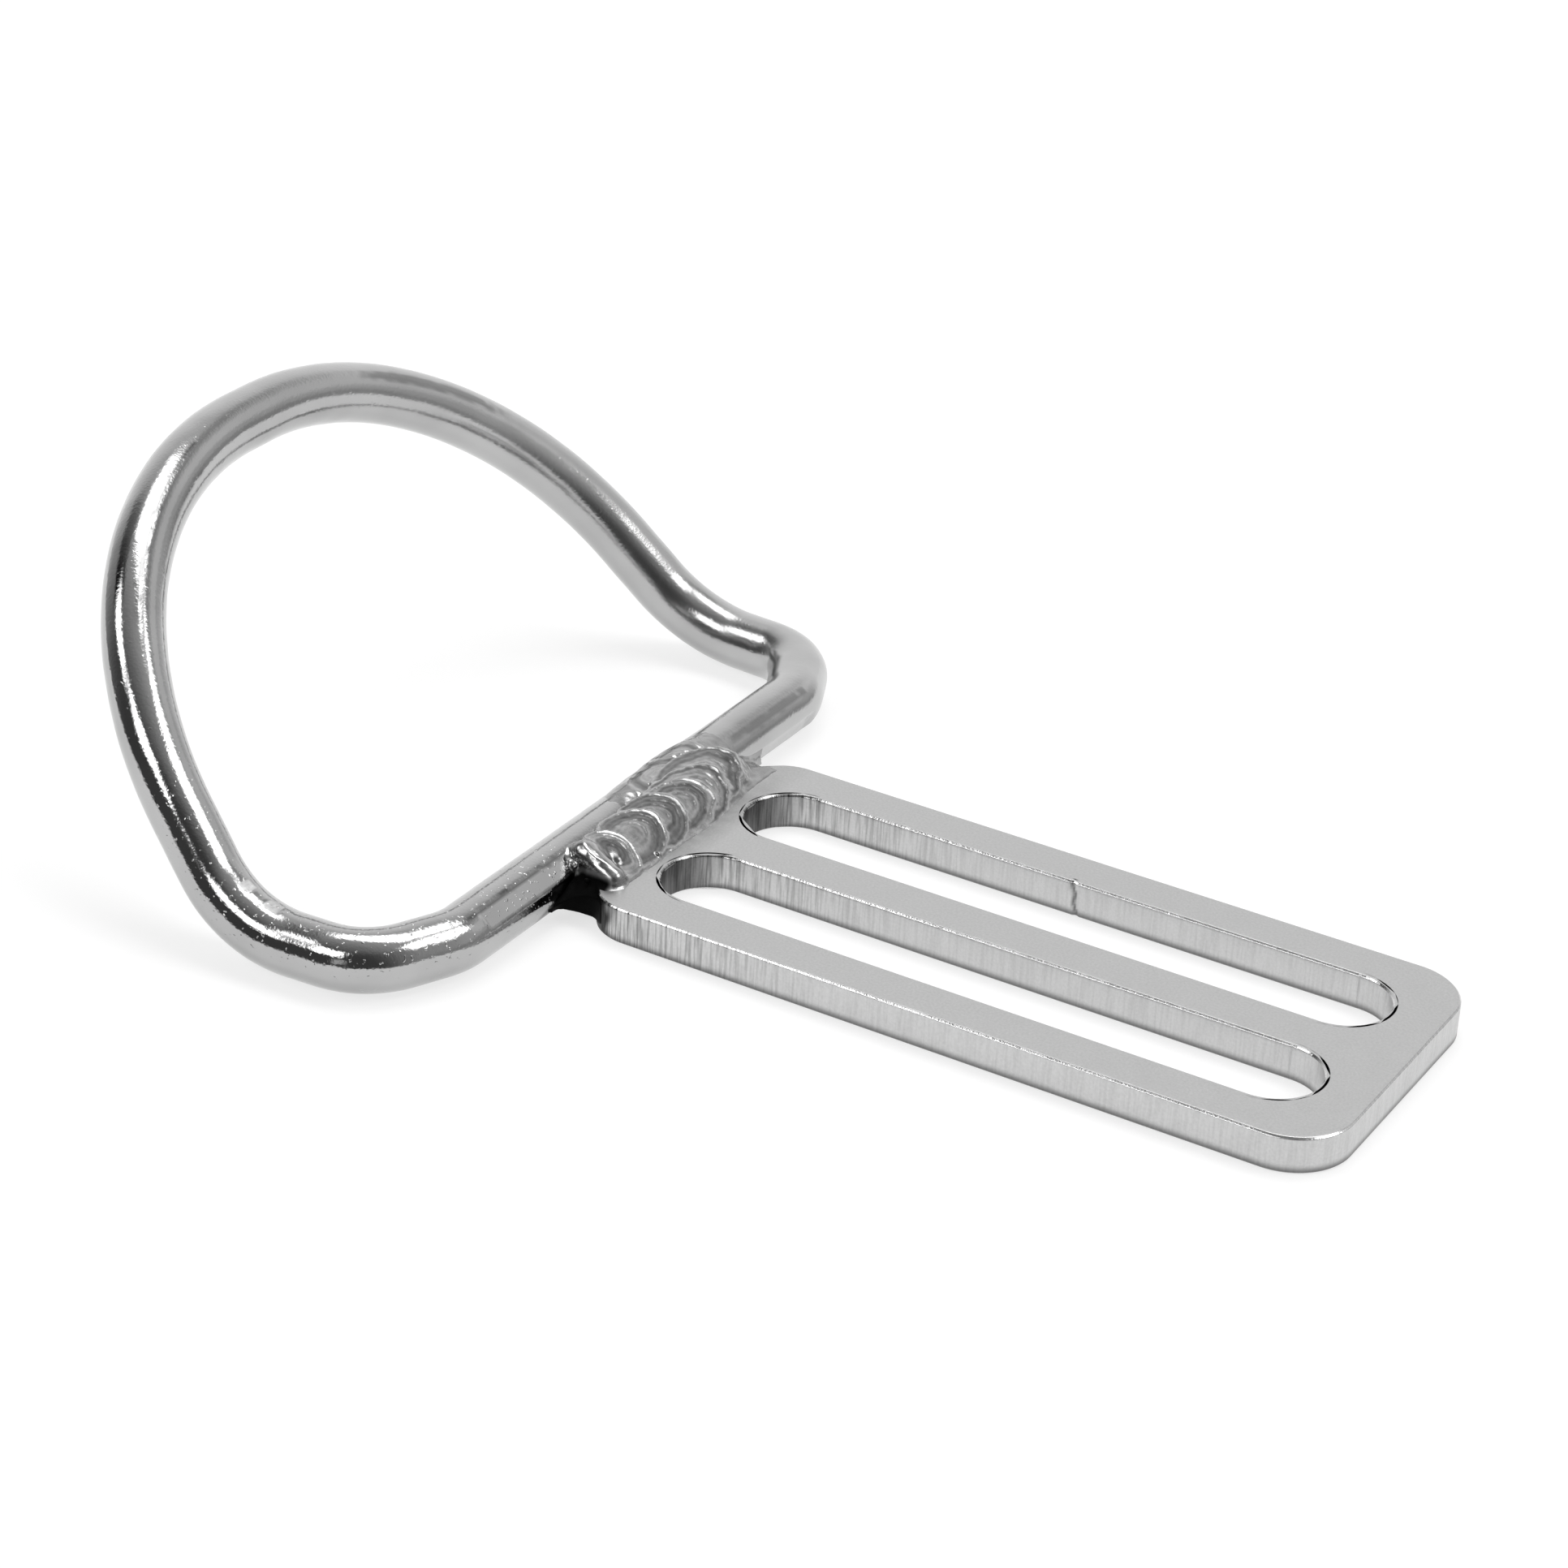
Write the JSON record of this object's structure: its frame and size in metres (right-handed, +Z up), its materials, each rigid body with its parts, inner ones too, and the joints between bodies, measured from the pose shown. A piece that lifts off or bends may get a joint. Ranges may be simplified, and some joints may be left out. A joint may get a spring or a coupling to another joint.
{
  "type": "webbing slide with bent D-ring",
  "caption": "Stainless steel webbing slide plate with long slots and a bent-up round-rod D-ring TIG-welded across its end.",
  "frame": {"origin": "centre of the slotted plate's underside, which is the plane the part lies on", "axes": "+X along the slots towards the plate's free end, with the ring at -X; +Y across the plate; +Z up, the side the ring's arch rises to"},
  "size_m": [0.1065, 0.0688, 0.0292],
  "materials": {
    "polished_rod": "polished",
    "satin_plate": "satin blasted",
    "weld_metal": "as welded"
  },
  "bodies": {
    "root": {"d_ring": "polished_rod", "ring_butt_weld": "polished_rod", "slotted_plate": "satin_plate", "weld_bead_top": "weld_metal", "weld_bead_underside": "weld_metal"}
  },
  "joints": []
}
